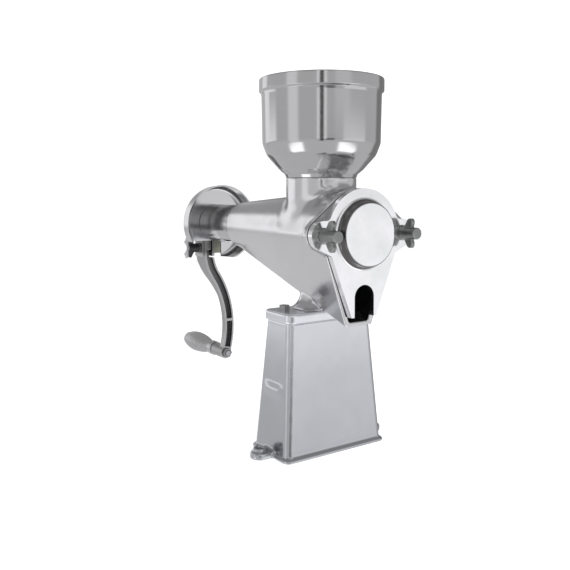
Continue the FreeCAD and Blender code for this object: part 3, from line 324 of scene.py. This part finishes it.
MATERIALS = {
    "pedestal": cast_metal("pedestal_casting", (0.57, 0.58, 0.605), 0.16, 0.24, zones=pedestal_painted_light),
    "casting": cast_metal("polished_casting", (0.70, 0.695, 0.705), 0.15, 0.24, zones=neck_painted_light),
    "hopper": spun_metal("spun_aluminium", (0.565, 0.56, 0.56), 0.10, 0.16),
    "cover": plate_metal("polished_plate", (0.95, 0.94, 0.955)),
    "dish": turned_metal("dish_sheet", (0.62, 0.62, 0.62), 0.1, 0.18, (1, 1, 1)),
    "screw": cast_metal("screw_casting", (0.62, 0.63, 0.64), 0.30, 0.45),
    "crank": cast_metal("crank_casting", (0.42, 0.42, 0.42), 0.24, 0.38, edge_gain=1.7, zones=crank_zones),
    "grip": moulded("grip_lacquer", (0.5, 0.5, 0.5), 0.3, metallic=0.6, grain=0.001 * MM),
    "steel": turned_metal("turned_steel", (0.45, 0.46, 0.47), 0.22, 0.36, (1, 30, 1)),
    "fastener": turned_metal("zinc_plate", (0.34, 0.34, 0.34), 0.22, 0.38, (1, 1, 1)),
    "wing_nut": cast_metal(
        "wing_nut_casting", (0.28, 0.29, 0.28), 0.26, 0.42, grain=0.02 * MM, edge_gain=1.7
    ),
    "wing_bolt": moulded("blackened_steel", (0.06, 0.06, 0.062), 0.34, metallic=0.8, overlay=rubbed_wings),
    "block": turned_metal("dull_brass", (0.30, 0.31, 0.25), 0.36, 0.5, (1, 20, 1)),
    "bronze": turned_metal("turned_bronze", (0.58, 0.40, 0.18), 0.24, 0.4, (30, 1, 1)),
    "rubber": moulded("rubber", (0.03, 0.03, 0.03), 0.5, overlay=bare_gasket),
}


# ---------------------------------------------------------------- mesh work


def add_piece(name, mesh, node):
    """A new piece that stands for a CAD node, rides on its body and takes its finish."""
    piece = bpy.data.objects.new(name, mesh)
    SCENE.collection.objects.link(piece)
    mesh.materials.clear()
    mesh.materials.append(MATERIALS[SLOT_OF[node]])
    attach(piece, BODY_OF[node])
    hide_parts(node)


def points_of(mesh):
    flat = np.empty(len(mesh.vertices) * 3)
    mesh.vertices.foreach_get("co", flat)
    return flat.reshape(-1, 3)


def neighbour_pull(mesh):
    """A function that gives, for a mesh's points, the way from each to the middle of its neighbours."""
    pairs = np.empty(len(mesh.edges) * 2, int)
    mesh.edges.foreach_get("vertices", pairs)
    one, other = pairs.reshape(-1, 2).T
    size = len(mesh.vertices)
    count = np.bincount(pairs, minlength=size)[:, None]

    def pull(points):
        total = np.empty_like(points)
        for axis in range(3):
            column = points[:, axis]
            total[:, axis] = np.bincount(one, column[other], size) + np.bincount(other, column[one], size)
        return total / count - points

    return pull


SHRINK, SWELL = 0.6, 0.63
MELT_ROUNDS = 90


def relax(mesh, rounds, weight=None):
    """Smooths the mesh. Only its ripples go, unless it has a weight for each point and melts down by that."""
    points = points_of(mesh)
    pull = neighbour_pull(mesh)
    for _ in range(rounds):
        if weight is None:
            points += SHRINK * pull(points)
            points -= SWELL * pull(points)
        else:
            points += weight[:, None] * pull(points)
    mesh.vertices.foreach_set("co", points.ravel())
    mesh.update()


def remeshed(node, voxel):
    """The CAD node's shape as an even mesh of small squares."""
    mesh = NODES[node].data.copy()
    mesh.attributes.remove(mesh.attributes["custom_normal"])
    source = bpy.data.objects.new(node + "_source", mesh)
    SCENE.collection.objects.link(source)
    change = source.modifiers.new("even", "REMESH")
    change.mode = "VOXEL"
    change.voxel_size = voxel
    change.use_smooth_shade = True
    even = bpy.data.meshes.new_from_object(source.evaluated_get(bpy.context.evaluated_depsgraph_get()))
    bpy.data.objects.remove(source)
    return even


def soft_casting(node, voxel, rounds, blend=None):
    """A CAD node with its edges rounded as a casting's are. blend gives how much each point melts down."""
    mesh = remeshed(node, voxel)
    if blend:
        relax(mesh, MELT_ROUNDS, blend(points_of(mesh)))
    relax(mesh, rounds)
    mesh.shade_smooth()
    add_piece(node + "_form", mesh, node)


def fade(distance, reach):
    """1 where distance is 0, falling smoothly to 0 at reach."""
    share = np.clip(1 - np.abs(distance) / reach, 0, 1)
    return share * share * (3 - 2 * share)


def machined(node, width):
    """Keeps the CAD node and breaks its edges by a small bevel."""
    piece = NODES[node]
    weld = piece.modifiers.new("weld", "WELD")
    weld.merge_threshold = 0.002 * MM
    bevel = piece.modifiers.new("edges", "BEVEL")
    bevel.width = width
    bevel.segments = 2
    bevel.limit_method = "ANGLE"
    bevel.angle_limit = math.radians(40)
    bevel.use_clamp_overlap = True
    bevel.harden_normals = False
    normals = piece.modifiers.new("normals", "WEIGHTED_NORMAL")
    normals.keep_sharp = False
    normals.weight = 80


ARC_STEP = math.radians(9)
LATHE_STEPS = 160


def arc_points(corners):
    """A line through corners (across, up, fillet radius), each rounded by an arc of that radius.

    A corner without a radius stays sharp, as the first and the last do."""
    line = []
    for index, (across, up, radius) in enumerate(corners):
        here = Vector((across, up))
        if not radius:
            line.append(here)
            continue
        before = (Vector(corners[index - 1][:2]) - here).normalized()
        after = (Vector(corners[index + 1][:2]) - here).normalized()
        half = before.angle(after) / 2
        reach = radius / math.tan(half)
        centre = here + (before + after).normalized() * radius / math.sin(half)
        start, end = here + before * reach - centre, here + after * reach - centre
        sweep = math.pi - 2 * half
        steps = max(3, math.ceil(sweep / ARC_STEP))
        for step in range(steps + 1):
            share = step / steps
            turned = start * math.sin((1 - share) * sweep) + end * math.sin(share * sweep)
            line.append(centre + turned / math.sin(sweep))
    return line


def lathe(corners, centre):
    """A closed outline of (radius, height, fillet radius), turned about the upright line through centre."""
    line = arc_points(corners)
    points, faces = [], []
    for step in range(LATHE_STEPS):
        angle = 2 * math.pi * step / LATHE_STEPS
        points += [(centre.x + p.x * math.cos(angle), centre.y + p.x * math.sin(angle), p.y) for p in line]
    count = len(line)
    for step in range(LATHE_STEPS):
        one, other = step * count, (step + 1) % LATHE_STEPS * count
        for index in range(count):
            following = (index + 1) % count
            faces.append((one + index, other + index, other + following, one + following))
    mesh = bpy.data.meshes.new("lathe")
    mesh.from_pydata(points, [], faces)
    mesh.update()
    mesh.shade_smooth()
    return mesh


# ---------------------------------------------------------------- pieces


def press_body_blend(points):
    """Melts the corner where the socket meets the barrel, outside both bores."""
    socket_round, barrel_front, barrel_end = 47 * MM, 56 * MM, 36 * MM
    reach, skin = 14 * MM, 1.5 * MM
    gain, most = 1.6, 0.9
    x, y, z = points.T
    low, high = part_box("press_body")
    share = np.clip((y - low.y) / (high.y - low.y), 0, 1)
    off_socket = np.hypot(x, y - HOPPER_Y) - socket_round
    off_barrel = np.hypot(x, z - AXIS) - (barrel_front + (barrel_end - barrel_front) * share)
    near = fade(off_socket, reach) * fade(off_barrel, reach)
    outside = (off_socket > -skin) & (off_barrel > -skin) & (z > AXIS)
    return np.clip(near * gain, 0, most) * outside


def stand_blend(points):
    """Melts the cast rib on the pedestal's left side into a soft bead."""
    rib_low, rib_high, rib_inner, rib_half = 80 * MM, 90 * MM, 66 * MM, 24 * MM
    soft, gain, most = 6 * MM, 1.5, 0.5
    x, y, z = points.T
    rows = fade(z - (rib_low + rib_high) / 2, (rib_high - rib_low) / 2 + soft)
    return np.clip(rows * gain, 0, most) * (x < -rib_inner) * (np.abs(y) < rib_half)


def make_hopper():
    """Spun bowl with a rolled rim band, a cone and the spigot that sits in the socket.

    The corners run up the outside and down the inside."""
    low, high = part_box("hopper")
    wall = 2.6 * MM
    spigot = 42.7 * MM
    rim = (high.x - low.x) / 2
    top = high.z
    corners = [
        (spigot, low.z, 0),
        (spigot, 362.1 * MM, 0),
        (47 * MM, 362.1 * MM, 0.3 * MM),
        (48.5 * MM, 366.5 * MM, 3 * MM),
        (55.8 * MM, 372.5 * MM, 12 * MM),
        (72.8 * MM, 391.5 * MM, 18 * MM),
        (78.8 * MM, 407 * MM, 17 * MM),
        (80.0 * MM, top - 22 * MM, 6 * MM),
        (80.6 * MM, top - 18.2 * MM, 1.2 * MM),
        (rim, top - 16.2 * MM, 1.6 * MM),
        (rim, top, 1.6 * MM),
        (rim - wall, top, 1.0 * MM),
        (rim - wall - 0.4 * MM, top - 14 * MM, 2 * MM),
        (78.2 * MM, top - 19 * MM, 3 * MM),
        (76.2 * MM, 408 * MM, 16 * MM),
        (70.2 * MM, 393.5 * MM, 15 * MM),
        (53.2 * MM, 374 * MM, 10 * MM),
        (spigot - wall, 366 * MM, 6 * MM),
        (spigot - wall, low.z, 0),
    ]
    mesh = lathe(corners, Vector((0, HOPPER_Y, 0)))
    add_piece("hopper_form", mesh, "hopper")


def make_pieces():
    soft_casting("press_body", voxel=1.5 * MM, rounds=14, blend=press_body_blend)
    soft_casting("stand", voxel=1.6 * MM, rounds=12, blend=stand_blend)
    soft_casting("stand_cap", voxel=1.2 * MM, rounds=10)
    soft_casting("outlet_neck", voxel=1.1 * MM, rounds=10)
    soft_casting("crank_arm", voxel=0.75 * MM, rounds=6)
    for node in ("wing_nut_left", "wing_nut_right"):
        soft_casting(node, voxel=0.55 * MM, rounds=12)
    soft_casting("clamp_bolt", voxel=0.5 * MM, rounds=10)
    make_hopper()
    for node in ("cap_bolts", "cap_nuts", "foot_bolts", "clamp_lock_nut", "spindle_nut", "clamp_block"):
        machined(node, width=0.5 * MM)
    for node in ("clamp_washer", "stud_washers", "cover_studs", "dish_screws", "grip_collar", "shaft_collar"):
        machined(node, width=0.4 * MM)
    for node in ("front_plate", "guard_dish"):
        machined(node, width=0.7 * MM)


make_pieces()
for node, item in NODES.items():
    if not item.hide_render:
        item.data.materials.clear()
        item.data.materials.append(MATERIALS[SLOT_OF[node]])


# ---------------------------------------------------------------- stage, lights and camera


FLOOR_GLOW = 0.58


def make_stage():
    """A round pale floor that curves up into a wall. Polished metal shows the studio behind it instead."""
    reach, rise, bend, bend_steps, sides = 4.2, 4.5, 1.2, 16, 96
    profile = [(0.02, 0.0), (0.5, 0.0), (1.5, 0.0)]
    for step in range(bend_steps + 1):
        angle = math.pi / 2 * step / bend_steps
        profile.append((reach - bend + bend * math.sin(angle), bend - bend * math.cos(angle)))
    profile.append((reach, rise))
    points = []
    for step in range(sides):
        angle = 2 * math.pi * step / sides
        points += [(away * math.cos(angle), away * math.sin(angle), up) for away, up in profile]
    count = len(profile)
    faces = [tuple(step * count for step in range(sides))]
    for step in range(sides):
        one, other = step * count, (step + 1) % sides * count
        faces += [(one + i, one + i + 1, other + i + 1, other + i) for i in range(count - 1)]
    mesh = bpy.data.meshes.new("backdrop")
    mesh.from_pydata(points, [], faces)
    mesh.shade_smooth()
    backdrop = bpy.data.objects.new("backdrop", mesh)
    backdrop.visible_glossy = backdrop.visible_diffuse = backdrop.visible_shadow = False
    SCENE.collection.objects.link(backdrop)
    shade = Shader("pale_floor")
    pale = shade.mix(shade.noise(3, 3.0), (0.88, 0.88, 0.88), (0.9, 0.9, 0.9))
    shade.look(Base_Color=pale, Roughness=0.9, Specular_IOR_Level=0.1)
    shade.look(Emission_Color=(1, 1, 1), Emission_Strength=FLOOR_GLOW)
    mesh.materials.append(shade.material)


LAMP_TARGET = Vector((0, 0.1, 0.3))


def softbox(name, azimuth, elevation, distance, width, height, power):
    """A rectangular lamp that the metal doesn't mirror, aimed at the press.

    It is seen from there at an azimuth (0 is -Y, 90 is +X) and elevation in degrees."""
    lamp = bpy.data.lights.new(name, "AREA")
    lamp.shape = "RECTANGLE"
    lamp.size, lamp.size_y = width, height
    lamp.energy = power
    item = bpy.data.objects.new(name, lamp)
    item.visible_glossy = False
    a, e = math.radians(azimuth), math.radians(elevation)
    away = Vector((math.sin(a) * math.cos(e), -math.cos(a) * math.cos(e), math.sin(e)))
    item.location = LAMP_TARGET + away * distance
    item.rotation_euler = (-away).to_track_quat("-Z", "Y").to_euler()
    SCENE.collection.objects.link(item)


# Each studio panel, as seen from the press: azimuth from and to (0 is -Y, 90 is +X), elevation from and to,
# how soft its edges are, all in degrees, and how bright it is. Later panels stand in front of earlier ones.
PANELS = {
    "walls": (-180, 180, -8, 15, 8, 0.61),
    "wall_behind_left": (-170, -156, -3, 18, 5, 1.12),
    "low_wall_left": (-152, -136, -2, 0, 7, 1.15),
    "card_left": (-99, -84, -30, 40, 6, 0.92),
    "window_low": (8, 52, -14, -1, 5, 0.95),
    "window_high": (-8, 14, 5, 52, 8, 0.74),
    "dark_behind_right": (96, 150, -20, 34, 10, 0.26),
    "dark_low_right": (-27, -13, -17, -5, 3, 0.2),
    "card_by_camera": (-44, -28, -8, 60, 1.5, 1.1),
    "dark_at_camera": (-39, -33, -24, 50, 1.5, 0.04),
    "table_left": (-106, -80, -41, -33, 6, 1.9),
    "table_right": (4, 42, -41, -33, 6, 1.9),
}
# Brightness of the floor and the ceiling, and the elevation that each reaches up or down to.
FLOOR_SEEN, FLOOR_UP_TO = 0.68, -12
CEILING_SEEN, CEILING_DOWN_TO = 0.34, 30
WORLD_STRENGTH = 1.0


def make_world():
    """The studio that the metal mirrors: pale floor, darker ceiling, bright and dark panels all round."""
    world = bpy.data.worlds.new("studio")
    SCENE.world = world
    world.use_nodes = True
    studio = NodeTree(world.node_tree)
    x, y, z = studio.split(studio.add("TexCoord").outputs["Generated"])
    radian = math.degrees(1)
    turn = studio.maths("ARCTAN2", x, studio.maths("MULTIPLY", y, -1.0))
    azimuth = studio.maths("MULTIPLY", turn, radian)
    elevation = studio.maths("MULTIPLY", studio.maths("ARCSINE", z), radian)
    heights = (FLOOR_UP_TO, CEILING_DOWN_TO)
    light = studio.spread(elevation, FLOOR_SEEN, CEILING_SEEN, *heights, "SMOOTHSTEP")
    for start, end, low, high, soft, level in PANELS.values():
        shape = studio.window(elevation, low, high, soft)
        if end - start < 360:
            shape = studio.maths("MULTIPLY", shape, studio.window(azimuth, start, end, soft))
        light = studio.mix(shape, light, level, kind="FLOAT")
    colour = studio.add("CombineColor", Red=light, Green=light, Blue=studio.maths("MULTIPLY", light, 1.02))
    background = world.node_tree.nodes["Background"]
    studio.feed(background, "Color", colour.outputs["Color"])
    studio.feed(background, "Strength", WORLD_STRENGTH)


VIEW_YAW, VIEW_PITCH = 33.92, 2.82
CAMERA_PLACE = Vector((-0.5632, -0.7556, 0.3448))
CAMERA_LENS = 44.07
CAMERA_SHIFT = -0.105


def make_camera():
    data = bpy.data.cameras.new("camera")
    data.lens = CAMERA_LENS
    data.shift_y = CAMERA_SHIFT
    data.clip_start, data.clip_end = 0.05, 50
    camera = bpy.data.objects.new("camera", data)
    camera.location = CAMERA_PLACE
    camera.rotation_euler = (math.radians(90 - VIEW_PITCH), 0, -math.radians(VIEW_YAW))
    SCENE.collection.objects.link(camera)
    SCENE.camera = camera


SCENE.view_settings.view_transform = "Standard"
make_stage()
make_world()
softbox("overhead", azimuth=-30, elevation=80, distance=2.4, width=2.6, height=2.6, power=26)
softbox("key_right", azimuth=38, elevation=35, distance=2.4, width=1.2, height=1.6, power=12)
make_camera()
